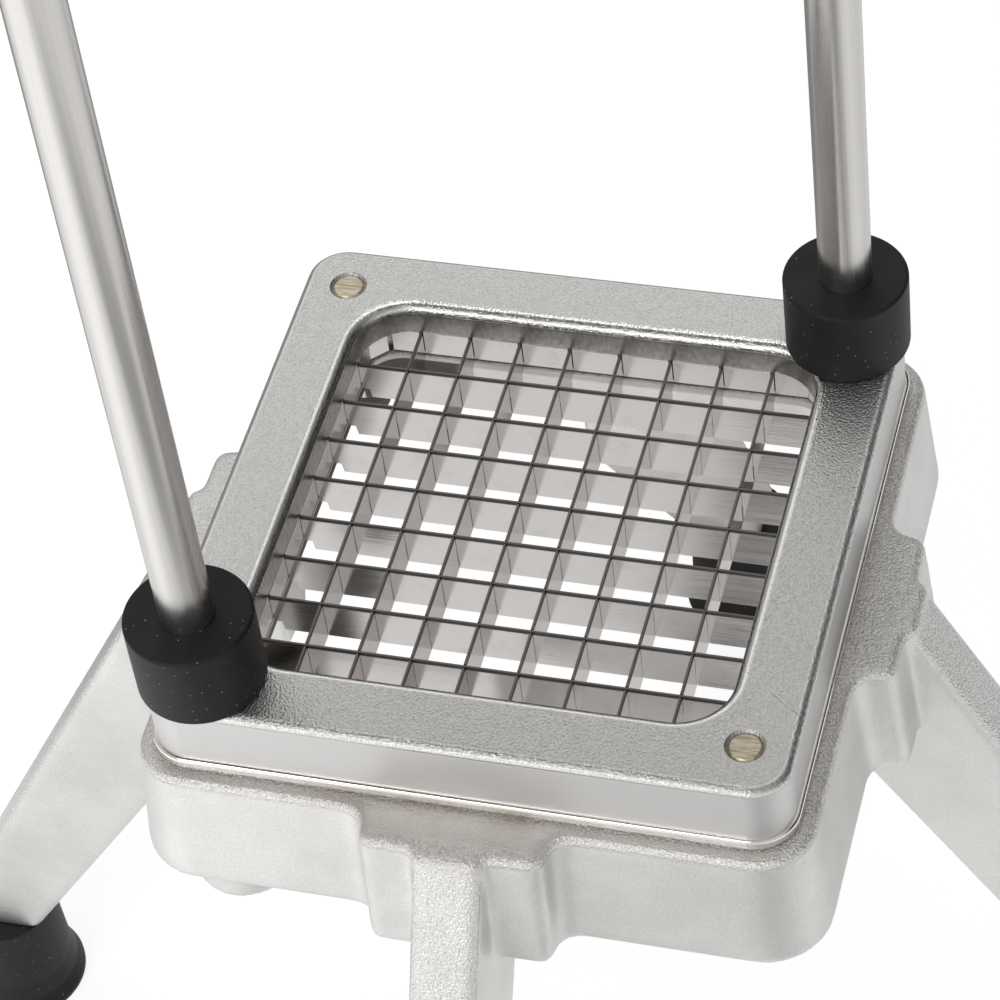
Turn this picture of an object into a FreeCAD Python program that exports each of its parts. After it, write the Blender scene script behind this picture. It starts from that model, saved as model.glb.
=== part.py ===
import FreeCAD, Part
import math
import os

# French fry cutter: a cast four-legged base carries a square grid of crossed blades in a cast
# frame, and a pusher head with square fingers slides down two corner guide rods.
# Millimetres. +Z is up, the feet stand on z = 0, -Y is the front and the origin is under the
# middle of the grid. Each STEP file in parts/ is one separate piece of the cutter.

V = FreeCAD.Vector
UP = V(0, 0, 1)

# Blade grid
PITCH = 12.7
CELLS = 9
BLADE_HEIGHT = 11.2
BLADE_THICK = 0.8
EDGE_HEIGHT = 0.8
EDGE_THICK = 0.5
LAP_CLEARANCE = 0.15
LAP_OVERCUT = 0.1
END_NOTCH_WIDTH = 1.9
END_NOTCH_HEIGHT = 2.8
END_NOTCH_SLANT = 0.4

# Holder strips round the grid
STRIP_THICK = 1.2
STRIP_HEIGHT = 7.8
STRIP_CHAMFER = 4.2
STRIP_JOINT = 0.7
STRIP_SLOT_FLOOR = 1.4
BLADE_TAIL = 2.65
FIT = 0.05
SEAT_CLEARANCE = 0.3

# Cast frame over the blades
FRAME_ABOVE = 8.5
FRAME_BELOW = 10.5
FRAME_WALL = 13.9
FRAME_CORNER = 9.5
FRAME_EDGE_ROUND = 2.4
OPENING_CLEARANCE = 0.3
OPENING_CORNER = 13.0
OPENING_ROUND = 2.8
POCKET_CORNER = 15.0
LIP_PROUD = 1.0
LIP_HEIGHT = 2.4
LIP_ROUND = 0.9

# Guide rods and their rubber bumpers
ROD_RADIUS = 6.35
ROD_INSET_X = 13.0
ROD_INSET_Y = 11.7
ROD_CHAMFER = 1.2
ROD_ABOVE_HEAD = 12.5
BUMPER_RADIUS = 15.0
BUMPER_HEIGHT = 21.5
BUMPER_ROUND = 0.9

# Cast base
LEDGE = 4.4
LEDGE_ROUND = 2.1
SEAT_STEP = 1.0
SEAT_INSET = 0.8
SKIRT_HEIGHT = 34.5
SKIRT_FLARE = 3.3
SKIRT_WALL = 5.0
SKIRT_CORNER = 13.0
SKIRT_FOOT_ROUND = 1.2
DECK_THICK = 6.0
CHUTE_CLEARANCE = 0.45
CHUTE_CORNER = 8.0
CHUTE_LIP = 3.0
CHUTE_RELIEF = 1.8
PAD_REACH = 8.9
PAD_HALF_WIDTH = 22.0
PAD_HOLLOW = 5.2
PAD_ROUND = 3.4
BOSS_RADIUS = 12.5
BOSS_DROP = 15.4
BOSS_FLOOR = 3.0
SCREW_PAD_RADIUS = 9.5
SCREW_PAD_DROP = 6.0

# Legs and feet
LEG_DROP = 148.0
LEG_HALF_WIDTH = 8.3
LEG_ROOT_PROUD = 2.9
LEG_ROOT_HEIGHT = 2.9
LEG_ROOT_HOLLOW = 0.6
LEG_ROOT_ROUND = 2.2
LEG_RUN = 99.1
LEG_END_WIDTH = 27.7
LEG_WEB = 8.4
LEG_WEB_DROP = 2.5
LEG_ROUND = 2.6
FOOT_HEIGHT = 35.0
FOOT_NECK = 14.7
FOOT_WAIST = 15.4
FOOT_RIM = 17.7
FOOT_RIM_HEIGHT = 2.0
FOOT_FLARE_HEIGHT = 12.0
FOOT_KNEE = 16.2
FOOT_KNEE_HEIGHT = 6.0
FOOT_SOLE_ROUND = 0.7
FOOT_RECESS_RADIUS = 6.5
FOOT_WEB = 17.0
FOOT_SCREW_RADIUS = 3.0
FOOT_SCREW_HEAD = 5.2
FOOT_SCREW_HEAD_HEIGHT = 4.0
FOOT_SCREW_HEAD_FACE = 3.6
FOOT_SCREW_HEAD_SIDE = 2.4
FOOT_SCREW_GRIP = 14.0

# Set screws that lock the rods in their bosses
SET_SCREW_RADIUS = 3.0
SET_SCREW_RISE = 8.0
SET_SCREW_SUNK = 0.6
SET_SCREW_SOCKET = 1.5
SET_SCREW_SOCKET_DEPTH = 2.5

# Wing screws that clamp the frame to the base
CLAMP_RADIUS = 3.95
CLAMP_INSET_X = 11.6
CLAMP_INSET_Y = 12.9
CLAMP_SUNK = 0.25
CLAMP_CHAMFER = 0.5
CLAMP_HOLE_CHAMFER = 0.7
WING_HUB_RADIUS = 7.5
WING_HUB_HEIGHT = 9.0
WING_HUB_FOOT = 5.6
WING_HUB_SIDE = 3.6
WING_SPAN = 11.8
WING_THICK = 3.4
WING_HEIGHT = 12.5
WING_TIP_WIDTH = 4.7
WING_SHOULDER = 4.5
WING_NOTCH = 3.0
WING_NECK = 6.0

# Pusher head
HEAD_TRAVEL = 236.0
HEAD_INSET = 1.2
HEAD_THICK = 8.0
HEAD_CORNER = 16.0
HEAD_EDGE_ROUND = 2.5
HEAD_BOSS_RADIUS = 15.3
HEAD_BOSS_HEIGHT = 36.0
HEAD_BOSS_DRAFT = 2.0
BUSHING_WALL = 2.2
BUSHING_FLANGE = 2.4
BUSHING_FLANGE_THICK = 2.0
RIB_WIDTH = 8.0
RIB_HEIGHT = 12.0
CROSS_RIB_HEIGHT = 8.0
PUSHER_BACK = 8.0
PUSHER_CLEARANCE = 1.15
PUSHER_CORNER = 15.0
FINGER_PASS = 1.5
CHANNEL_ROOT = 2.4
CHANNEL_TIP = 3.2
PUSHER_SCREW_X = 18.0
PUSHER_SCREW_Y = 42.0
SCREW_RADIUS = 3.0
SCREW_HEAD_RADIUS = 5.0
SCREW_HEAD_HEIGHT = 5.0
SCREW_HEAD_CHAMFER = 0.6
SCREW_SOCKET = 2.5
SCREW_SOCKET_DEPTH = 2.5
SCREW_BITE = 6.5

# Handle on the pusher head
GRIP_LENGTH = 118.0
GRIP_RADIUS = 16.5
GRIP_WAIST = 14.0
GRIP_COLLAR = 4.0
GRIP_TOP = 288.5
GRIP_END_GAP = 0.2
ARM_THICK = 7.0
ARM_FOOT_HALF = 17.0
ARM_EYE_RADIUS = 11.0
ARM_FLANGE = 24.0
ARM_FLANGE_THICK = 7.0
ARM_FILLET = 5.0
ARM_POCKET_DEPTH = 2.0
ARM_POCKET_EDGE = 5.0
ARM_SCREW_Y = 10.0
ARM_SCREW_INSET = 14.0
BAR_RADIUS = 5.0
BAR_THREAD = 8.0
CAP_NUT_RADIUS = 9.0
CAP_NUT_HEX = 6.5
CAP_NUT_DOME = 6.0
CAP_NUT_DOME_RADIUS = 7.0

# Heights above the floor
z_leg_end = FOOT_HEIGHT
z_foot_web = z_leg_end - FOOT_WEB
z_skirt = z_leg_end + LEG_DROP
z_ledge = z_skirt + SKIRT_HEIGHT
z_seat = z_ledge + SEAT_STEP
z_blade = z_seat + FRAME_BELOW
z_frame = z_blade + FRAME_ABOVE
z_bumper = z_frame + BUMPER_HEIGHT
z_head = z_bumper + HEAD_TRAVEL
z_strip = z_blade - STRIP_HEIGHT
z_deck = z_ledge - DECK_THICK
z_rod = z_skirt - BOSS_DROP + BOSS_FLOOR

# Half widths, from the grid outwards
grid_half = CELLS * PITCH / 2
strip_half = grid_half + STRIP_THICK
opening_half = grid_half + OPENING_CLEARANCE
tail_half = strip_half + BLADE_TAIL
pocket_half = tail_half + SEAT_CLEARANCE
frame_half = pocket_half + FRAME_WALL
rod_x = frame_half - ROD_INSET_X
rod_y = frame_half - ROD_INSET_Y
clamp_x = frame_half - CLAMP_INSET_X
clamp_y = frame_half - CLAMP_INSET_Y
ledge_half = frame_half + LEDGE
chute_half = grid_half + CHUTE_CLEARANCE
head_half = frame_half - HEAD_INSET
pusher_half = grid_half - PUSHER_CLEARANCE
blade_places = [(i - (CELLS - 2) / 2) * PITCH for i in range(CELLS - 1)]
rod_places = {"front_left": (-rod_x, -rod_y), "back_right": (rod_x, rod_y)}
clamp_places = {"back_left": (-clamp_x, clamp_y), "front_right": (clamp_x, -clamp_y)}


def polygon(points):
    """Closed flat face through the points."""
    return Part.Face(Part.makePolygon([V(*p) for p in points] + [V(*points[0])]))


def arc_through(a, b, c):
    return Part.Arc(V(*a), V(*b), V(*c)).toShape()


def rounded_square(half, corner, z):
    """Square outline with round corners, centred on the Z axis at height z."""
    flat = half - corner
    diagonal = flat + corner * math.sqrt(0.5)
    edges = []
    for turn in range(4):
        side = Part.LineSegment(V(-flat, -half, z), V(flat, -half, z)).toShape()
        bend = arc_through((flat, -half, z), (diagonal, -diagonal, z), (half, -flat, z))
        for edge in (side, bend):
            edge.rotate(V(), UP, 90 * turn)
            edges.append(edge)
    return Part.Wire(edges)


def square_plate(half, corner, low, high):
    """Flat plate with round corners between two heights."""
    return Part.Face(rounded_square(half, corner, low)).extrude(V(0, 0, high - low))


def line(a, b):
    return Part.LineSegment(V(*a), V(*b)).toShape()


def stepped_outline(half, corner, steps, z):
    """Square outline with steps that stand out of the middle of each side.

    Each step is (half width, reach beyond the one before, concave radius at its foot, round of its edge).
    """
    s = math.sqrt(0.5)
    flat = half - corner
    bend = flat + corner * s
    path = []
    here = (-flat, -half, z)
    level = half
    for width, reach, hollow, bulge in steps:
        corners = [
            (-width - hollow, -level, z),
            (-width - hollow * (1 - s), -level - hollow * (1 - s), z),
            (-width, -level - hollow, z),
            (-width, -level - reach + bulge, z),
            (-width + bulge * (1 - s), -level - reach + bulge * (1 - s), z),
            (-width + bulge, -level - reach, z),
        ]
        path += [(here, corners[0]), tuple(corners[0:3]), (corners[2], corners[3]), tuple(corners[3:6])]
        here = corners[5]
        level += reach
    mirrored = [tuple((-x, y, z) for x, y, z in reversed(piece)) for piece in reversed(path)]
    path += [(here, (-here[0], here[1], z))] + mirrored
    path.append(((flat, -half, z), (bend, -bend, z), (half, -flat, z)))
    edges = []
    for turn in range(4):
        for piece in path:
            edge = line(*piece) if len(piece) == 2 else arc_through(*piece)
            edge.rotate(V(), UP, 90 * turn)
            edges.append(edge)
    return Part.Wire(edges)


def drafted_skirt(inset, steps, low, high):
    """Solid of the skirt's outline between two heights, flaring towards the bottom."""
    wires = []
    for z in (low, high):
        flare = SKIRT_FLARE * (z_ledge - z) / SKIRT_HEIGHT
        wires.append(stepped_outline(ledge_half + flare - inset, SKIRT_CORNER + flare - inset, steps, z))
    return Part.makeLoft(wires, True, True)


def cylinder(radius, low, high, at=(0, 0)):
    return Part.makeCylinder(radius, high - low, V(at[0], at[1], low), UP)


def cylinder_x(radius, low, high, y, z):
    return Part.makeCylinder(radius, high - low, V(low, y, z), V(1, 0, 0))


def box(x, y, z):
    """Box between pairs of x, y and z values."""
    return Part.makeBox(x[1] - x[0], y[1] - y[0], z[1] - z[0], V(x[0], y[0], z[0]))


def edges_near(shape, test):
    """Edges whose middle point passes the test."""
    found = []
    for edge in shape.Edges:
        middle = edge.valueAt((edge.FirstParameter + edge.LastParameter) / 2)
        if test(middle):
            found.append(edge)
    return found


def turned_profile(points):
    """Solid turned about the Z axis from (radius, height) points."""
    return polygon([(r, 0, z) for r, z in points]).revolve(V(), UP, 360)


def save(name, shape):
    os.makedirs("parts", exist_ok=True)
    shape.exportStep("parts/" + name + ".step")


def blade(slots_open_down):
    """Blade along X through the origin: its sharp edge is up at z_blade, and its ends are stepped."""
    bottom = z_blade - BLADE_HEIGHT
    tail = z_strip + STRIP_SLOT_FLOOR + FIT
    shoulder = grid_half - SEAT_CLEARANCE / 2
    notch = shoulder - END_NOTCH_WIDTH
    right = [
        (notch - END_NOTCH_SLANT, bottom),
        (notch, bottom + END_NOTCH_HEIGHT),
        (shoulder, bottom + END_NOTCH_HEIGHT),
        (shoulder, tail),
        (tail_half, tail),
        (tail_half, z_blade),
    ]
    outline = right + [(-x, z) for x, z in reversed(right)]
    plate = polygon([(x, -BLADE_THICK / 2, z) for x, z in outline]).extrude(V(0, BLADE_THICK, 0))
    half = BLADE_THICK / 2
    edge = EDGE_THICK / 2
    section = polygon([
        (-tail_half, -half, bottom),
        (-tail_half, half, bottom),
        (-tail_half, half, z_blade - EDGE_HEIGHT),
        (-tail_half, edge, z_blade),
        (-tail_half, -edge, z_blade),
        (-tail_half, -half, z_blade - EDGE_HEIGHT),
    ]).extrude(V(2 * tail_half, 0, 0))
    plate = plate.common(section)
    middle = z_blade - BLADE_HEIGHT / 2
    if slots_open_down:
        reach = (bottom - 1, middle + LAP_OVERCUT)
    else:
        reach = (middle - LAP_OVERCUT, z_blade + 1)
    slot_half = BLADE_THICK / 2 + LAP_CLEARANCE
    slots = [box((x - slot_half, x + slot_half), (-1, 1), reach) for x in blade_places]
    return plate.cut(Part.makeCompound(slots))


def holder_strip():
    """Slotted strip along the back of the grid, with its right end bent round the corner."""
    bend = grid_half - STRIP_CHAMFER
    miter = STRIP_THICK * math.tan(math.radians(22.5))
    lean = STRIP_THICK * math.sqrt(0.5)
    joint = STRIP_JOINT * math.sqrt(0.5)
    strip = polygon([
        (-bend + STRIP_JOINT, grid_half, z_strip),
        (bend, grid_half, z_strip),
        (grid_half - joint, bend + joint, z_strip),
        (grid_half - joint + lean, bend + joint + lean, z_strip),
        (bend + miter, strip_half, z_strip),
        (-bend + STRIP_JOINT, strip_half, z_strip),
    ]).extrude(V(0, 0, STRIP_HEIGHT - FIT))
    slot_half = BLADE_THICK / 2 + LAP_CLEARANCE
    across = (grid_half - 1, strip_half + 1)
    reach = (z_strip + STRIP_SLOT_FLOOR, z_blade)
    slots = [box((x - slot_half, x + slot_half), across, reach) for x in blade_places]
    return strip.cut(Part.makeCompound(slots))


def blade_frame():
    """Cast frame: a rounded window over the grid, a pocket under it and a lip round its foot."""
    body = square_plate(frame_half, FRAME_CORNER, z_seat, z_frame)
    body = body.makeFillet(FRAME_EDGE_ROUND, edges_near(body, lambda p: p.z > z_frame - FIT))
    lip = square_plate(frame_half + LIP_PROUD, FRAME_CORNER + LIP_PROUD, z_seat, z_seat + LIP_HEIGHT)
    lip = lip.makeFillet(LIP_ROUND, edges_near(lip, lambda p: abs(p.z - z_seat - LIP_HEIGHT) < FIT))
    body = body.fuse(lip)
    window = square_plate(opening_half, OPENING_CORNER, z_seat - 1, z_frame + 1)
    pocket = square_plate(pocket_half, POCKET_CORNER, z_seat - 1, z_blade)
    body = body.cut(window)
    inner = edges_near(body, lambda p: p.z > z_frame - FIT and max(abs(p.x), abs(p.y)) < opening_half + 1)
    body = body.makeFillet(OPENING_ROUND, inner)
    cuts = [pocket]
    for at in rod_places.values():
        cuts.append(cylinder(ROD_RADIUS + FIT, z_seat - 1, z_frame + 1, at))
    for at in clamp_places.values():
        hole = CLAMP_RADIUS + FIT
        cuts.append(cylinder(hole, z_seat - 1, z_frame + 1, at))
        cuts.append(Part.makeCone(hole, hole + CLAMP_HOLE_CHAMFER, CLAMP_HOLE_CHAMFER,
                                  V(at[0], at[1], z_frame - CLAMP_HOLE_CHAMFER), UP))
    return body.cut(Part.makeCompound(cuts))


def leg():
    """Leg towards the front, a deep flat bar that slopes down from the skirt's pad."""
    root = ledge_half + PAD_REACH + LEG_ROOT_PROUD
    web = ledge_half - SKIRT_WALL - LEG_WEB
    end = root + LEG_RUN
    bar = polygon([
        (-LEG_HALF_WIDTH, -web, z_deck + 1),
        (-LEG_HALF_WIDTH, -web, z_skirt - LEG_WEB_DROP),
        (-LEG_HALF_WIDTH, -end + LEG_END_WIDTH, z_leg_end),
        (-LEG_HALF_WIDTH, -end, z_leg_end),
        (-LEG_HALF_WIDTH, -root, z_ledge - LEG_ROOT_HEIGHT),
    ]).extrude(V(2 * LEG_HALF_WIDTH, 0, 0))

    def on_side(p):
        return abs(abs(p.x) - LEG_HALF_WIDTH) < FIT

    def outer(p):
        return p.z > z_leg_end + 1 and p.y < -root + FIT

    def inner(p):
        return z_leg_end + 1 < p.z < z_skirt - LEG_WEB_DROP - 1 and p.y > -root

    return bar.makeFillet(LEG_ROUND, edges_near(bar, lambda p: on_side(p) and (outer(p) or inner(p))))


def foot_centre():
    """Distance of each foot from the middle of the base."""
    return ledge_half + PAD_REACH + LEG_ROOT_PROUD + LEG_RUN - LEG_END_WIDTH / 2


def base_casting():
    """One casting: flared skirt, deck with the chute, rod bosses and four splayed legs."""
    pad = (PAD_HALF_WIDTH, PAD_REACH, PAD_HOLLOW, PAD_ROUND)
    root = (LEG_HALF_WIDTH, LEG_ROOT_PROUD, LEG_ROOT_HOLLOW, LEG_ROOT_ROUND)
    hollow_pad = (PAD_HALF_WIDTH - SKIRT_WALL, PAD_REACH, PAD_HOLLOW, PAD_ROUND)
    shell = drafted_skirt(0, (pad, root), z_skirt, z_ledge)
    shell = shell.makeFillet(LEDGE_ROUND, edges_near(shell, lambda p: p.z > z_ledge - FIT))
    shell = shell.makeFillet(SKIRT_FOOT_ROUND, edges_near(shell, lambda p: p.z < z_skirt + FIT))
    shell = shell.cut(drafted_skirt(SKIRT_WALL, (hollow_pad,), z_skirt - 1, z_deck))
    seat = square_plate(frame_half - SEAT_INSET, FRAME_CORNER - SEAT_INSET, z_ledge - 1, z_seat)
    collar_half = pocket_half - SEAT_CLEARANCE
    collar = square_plate(collar_half, POCKET_CORNER - SEAT_CLEARANCE, z_ledge - 1, z_strip)
    solids = [seat, collar]
    for turn in range(4):
        bar = leg()
        bar.rotate(V(), UP, 90 * turn)
        solids.append(bar)
    for at in rod_places.values():
        solids.append(cylinder(BOSS_RADIUS, z_skirt - BOSS_DROP, z_deck + 1, at))
    for at in clamp_places.values():
        solids.append(cylinder(SCREW_PAD_RADIUS, z_deck - SCREW_PAD_DROP, z_deck + 1, at))
    body = shell.multiFuse(solids)
    relief = (chute_half + CHUTE_RELIEF, CHUTE_CORNER + CHUTE_RELIEF)
    cuts = [
        square_plate(chute_half, CHUTE_CORNER, z_deck - 1, z_strip + 1),
        square_plate(*relief, z_deck - 1, z_strip - CHUTE_LIP),
    ]
    for at in rod_places.values():
        cuts.append(cylinder(ROD_RADIUS + FIT, z_rod, z_seat + 1, at))
        cuts.append(set_screw_hole(at))
    for at in clamp_places.values():
        cuts.append(cylinder(CLAMP_RADIUS + FIT, z_deck - SCREW_PAD_DROP - 1, z_seat + 1, at))
    for turn in range(4):
        top = z_leg_end + FOOT_SCREW_GRIP + FIT
        hole = cylinder(FOOT_SCREW_RADIUS + FIT, z_leg_end - 1, top, (0, -foot_centre()))
        hole.rotate(V(), UP, 90 * turn)
        cuts.append(hole)
    return body.cut(Part.makeCompound(cuts)).removeSplitter()


def set_screw_line(at):
    """Height and direction of a rod's set screw: level, towards the middle of the side."""
    away = V(-at[0], at[1], 0).normalize()
    return V(at[0], at[1], z_skirt - BOSS_DROP + SET_SCREW_RISE), away


def set_screw_hole(at):
    start, away = set_screw_line(at)
    return Part.makeCylinder(SET_SCREW_RADIUS + FIT, BOSS_RADIUS + 1, start, away)


def set_screw(at):
    """Grub screw that presses on the rod, with a socket in its outer end."""
    start, away = set_screw_line(at)
    length = BOSS_RADIUS - SET_SCREW_SUNK - ROD_RADIUS
    body = Part.makeCylinder(SET_SCREW_RADIUS, length, start + away * ROD_RADIUS, away)
    rod = cylinder(ROD_RADIUS, start.z - 2 * SET_SCREW_RADIUS, start.z + 2 * SET_SCREW_RADIUS, at)
    mouth = start + away * (BOSS_RADIUS - SET_SCREW_SUNK - SET_SCREW_SOCKET_DEPTH)
    socket = Part.makeCylinder(SET_SCREW_SOCKET, SET_SCREW_SOCKET_DEPTH + 1, mouth, away)
    return body.cut(rod).cut(socket)


def guide_rod(at):
    """Ground steel rod with chamfered ends, from its boss up past the raised head."""
    top = z_head + HEAD_BOSS_HEIGHT + ROD_ABOVE_HEAD
    rod = turned_profile([
        (0, z_rod),
        (ROD_RADIUS - ROD_CHAMFER, z_rod),
        (ROD_RADIUS, z_rod + ROD_CHAMFER),
        (ROD_RADIUS, top - ROD_CHAMFER),
        (ROD_RADIUS - ROD_CHAMFER, top),
        (0, top),
    ])
    rod.translate(V(at[0], at[1], 0))
    return rod


def bumper(at):
    """Rubber ring on the rod that the head comes down on."""
    ring = cylinder(BUMPER_RADIUS, z_frame, z_bumper)
    middle = (z_frame + z_bumper) / 2
    rims = edges_near(ring, lambda p: abs(p.z - middle) > BUMPER_HEIGHT / 2 - FIT)
    ring = ring.makeFillet(BUMPER_ROUND, rims)
    ring = ring.cut(cylinder(ROD_RADIUS + FIT, z_frame - 1, z_bumper + 1))
    ring.translate(V(at[0], at[1], 0))
    return ring


def foot():
    """Flared rubber foot with a screw recess in its sole, under the end of the front leg."""
    sleeve = FOOT_SCREW_RADIUS + FIT
    solid = turned_profile([
        (FOOT_RECESS_RADIUS, 0),
        (FOOT_RIM - FOOT_SOLE_ROUND, 0),
        (FOOT_RIM, FOOT_SOLE_ROUND),
        (FOOT_RIM, FOOT_RIM_HEIGHT),
        (FOOT_KNEE, FOOT_KNEE_HEIGHT),
        (FOOT_WAIST, FOOT_FLARE_HEIGHT),
        (FOOT_NECK, FOOT_HEIGHT),
        (sleeve, FOOT_HEIGHT),
        (sleeve, z_foot_web),
        (FOOT_RECESS_RADIUS, z_foot_web),
    ])
    solid.translate(V(0, -foot_centre(), 0))
    return solid


def foot_screw():
    """Pan-head screw from the foot's recess into the leg."""
    solid = turned_profile([
        (0, z_foot_web - FOOT_SCREW_HEAD_HEIGHT),
        (FOOT_SCREW_HEAD_FACE, z_foot_web - FOOT_SCREW_HEAD_HEIGHT),
        (FOOT_SCREW_HEAD, z_foot_web - FOOT_SCREW_HEAD_SIDE),
        (FOOT_SCREW_HEAD, z_foot_web),
        (FOOT_SCREW_RADIUS, z_foot_web),
        (FOOT_SCREW_RADIUS, z_leg_end + FOOT_SCREW_GRIP),
        (0, z_leg_end + FOOT_SCREW_GRIP),
    ])
    solid.translate(V(0, -foot_centre(), 0))
    return solid


def wing_top():
    """Height of the wing head's face, which bears on the pad under the deck."""
    return z_deck - SCREW_PAD_DROP - FIT


def clamp_stud(at):
    """Threaded stud of a wing screw: its end shows in the top face of the frame."""
    top = z_frame - CLAMP_SUNK
    low = wing_top() - WING_HUB_HEIGHT + CLAMP_CHAMFER
    solid = turned_profile([
        (0, low),
        (CLAMP_RADIUS, low),
        (CLAMP_RADIUS, top - CLAMP_CHAMFER),
        (CLAMP_RADIUS - CLAMP_CHAMFER, top),
        (0, top),
    ])
    solid.translate(V(at[0], at[1], 0))
    return solid


def wing_head(at):
    """Cast wing head fixed on the stud's lower end."""
    top = wing_top()
    low = top - WING_HUB_HEIGHT
    hub = turned_profile([
        (0, low),
        (WING_HUB_FOOT, low),
        (WING_HUB_RADIUS, top - WING_HUB_SIDE),
        (WING_HUB_RADIUS, top),
        (0, top),
    ])
    side = -WING_THICK / 2
    half = [
        (WING_NOTCH, side, low + 1),
        (WING_SPAN - WING_TIP_WIDTH, side, top - WING_HEIGHT),
        (WING_SPAN, side, top - WING_HEIGHT),
        (WING_SPAN, side, top - WING_SHOULDER),
        (WING_NECK, side, top - 1),
    ]
    wings = polygon(half + [(-x, y, z) for x, y, z in reversed(half)]).extrude(V(0, WING_THICK, 0))
    wings.rotate(V(), UP, 45 if at[0] * at[1] < 0 else -45)
    solid = hub.fuse(wings)
    solid = solid.cut(cylinder(CLAMP_RADIUS, low + CLAMP_CHAMFER, top + 1))
    solid.translate(V(at[0], at[1], 0))
    return solid


def cap_screw(at, seat, depth):
    """Socket-head screw: its head stands on the seat height and its shank goes down from there."""
    solid = turned_profile([
        (0, seat - depth),
        (SCREW_RADIUS, seat - depth),
        (SCREW_RADIUS, seat),
        (SCREW_HEAD_RADIUS, seat),
        (SCREW_HEAD_RADIUS, seat + SCREW_HEAD_HEIGHT - SCREW_HEAD_CHAMFER),
        (SCREW_HEAD_RADIUS - SCREW_HEAD_CHAMFER, seat + SCREW_HEAD_HEIGHT),
        (SCREW_SOCKET, seat + SCREW_HEAD_HEIGHT),
        (SCREW_SOCKET, seat + SCREW_HEAD_HEIGHT - SCREW_SOCKET_DEPTH),
        (0, seat + SCREW_HEAD_HEIGHT - SCREW_SOCKET_DEPTH),
    ])
    solid.translate(V(at[0], at[1], 0))
    return solid


BOTH = (-1, 1)
pusher_screw_places = [(x * PUSHER_SCREW_X, y * PUSHER_SCREW_Y) for x in BOTH for y in BOTH]
arm_inner = GRIP_LENGTH / 2 + GRIP_END_GAP
arm_screw_x = arm_inner - ARM_SCREW_INSET
arm_screw_places = [(x * arm_screw_x, y * ARM_SCREW_Y) for x in BOTH for y in BOTH]
z_plate = z_head + HEAD_THICK
z_grip = z_head + GRIP_TOP - GRIP_RADIUS
bushing_radius = ROD_RADIUS + FIT + BUSHING_WALL


def head_casting():
    """Cast plate with two tall bosses for the rods, joined by ribs."""
    body = square_plate(head_half, HEAD_CORNER, z_head, z_plate)
    body = body.makeFillet(HEAD_EDGE_ROUND, edges_near(body, lambda p: p.z > z_plate - FIT))
    solids = []
    boss_top = HEAD_BOSS_RADIUS - HEAD_BOSS_DRAFT
    for at in rod_places.values():
        foot = V(at[0], at[1], z_head)
        solids.append(Part.makeCone(HEAD_BOSS_RADIUS, boss_top, HEAD_BOSS_HEIGHT, foot, UP))
    diagonal = math.hypot(rod_x, rod_y)
    width = (-RIB_WIDTH / 2, RIB_WIDTH / 2)
    rib = box((-diagonal, diagonal), width, (z_plate - 1, z_plate + RIB_HEIGHT))
    rib.rotate(V(), UP, math.degrees(math.atan2(rod_y, rod_x)))
    solids.append(rib)
    reach = arm_inner - ARM_FLANGE
    solids.append(box((-reach, reach), width, (z_plate - 1, z_plate + CROSS_RIB_HEIGHT)))
    body = body.multiFuse(solids)
    bore = bushing_radius + FIT / 2
    hole = SCREW_RADIUS + FIT
    cuts = [cylinder(bore, z_head - 1, z_head + HEAD_BOSS_HEIGHT + 1, at) for at in rod_places.values()]
    cuts += [cylinder(hole, z_head - 1, z_plate + 1, at) for at in pusher_screw_places]
    cuts += [cylinder(hole, z_plate - SCREW_BITE - FIT, z_plate + 1, at) for at in arm_screw_places]
    return body.cut(Part.makeCompound(cuts)).removeSplitter()


def bushing(at):
    """Flanged plastic bushing pressed into the head's boss, running on the rod."""
    top = z_head + HEAD_BOSS_HEIGHT
    solid = turned_profile([
        (ROD_RADIUS + FIT, z_head),
        (bushing_radius, z_head),
        (bushing_radius, top),
        (bushing_radius + BUSHING_FLANGE, top),
        (bushing_radius + BUSHING_FLANGE, top + BUSHING_FLANGE_THICK),
        (ROD_RADIUS + FIT, top + BUSHING_FLANGE_THICK),
    ])
    solid.translate(V(at[0], at[1], 0))
    return solid


def pusher_block():
    """Block of square fingers, one for each cell, parted by channels that the blades enter."""
    tips = z_blade - BLADE_HEIGHT - FINGER_PASS + HEAD_TRAVEL
    root = z_head - PUSHER_BACK
    body = square_plate(pusher_half, PUSHER_CORNER, tips, z_head)
    channels = []
    for place in blade_places:
        channel = polygon([
            (place - CHANNEL_ROOT / 2, -pusher_half - 1, root),
            (place + CHANNEL_ROOT / 2, -pusher_half - 1, root),
            (place + CHANNEL_TIP / 2, -pusher_half - 1, tips - 1),
            (place - CHANNEL_TIP / 2, -pusher_half - 1, tips - 1),
        ]).extrude(V(0, 2 * pusher_half + 2, 0))
        crossing = channel.copy()
        crossing.rotate(V(), UP, 90)
        channels += [channel, crossing]
    body = body.cut(channels)
    for at in pusher_screw_places:
        body = body.cut(cylinder(SCREW_RADIUS + FIT, z_head - SCREW_BITE - FIT, z_head + 1, at))
    return body


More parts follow.
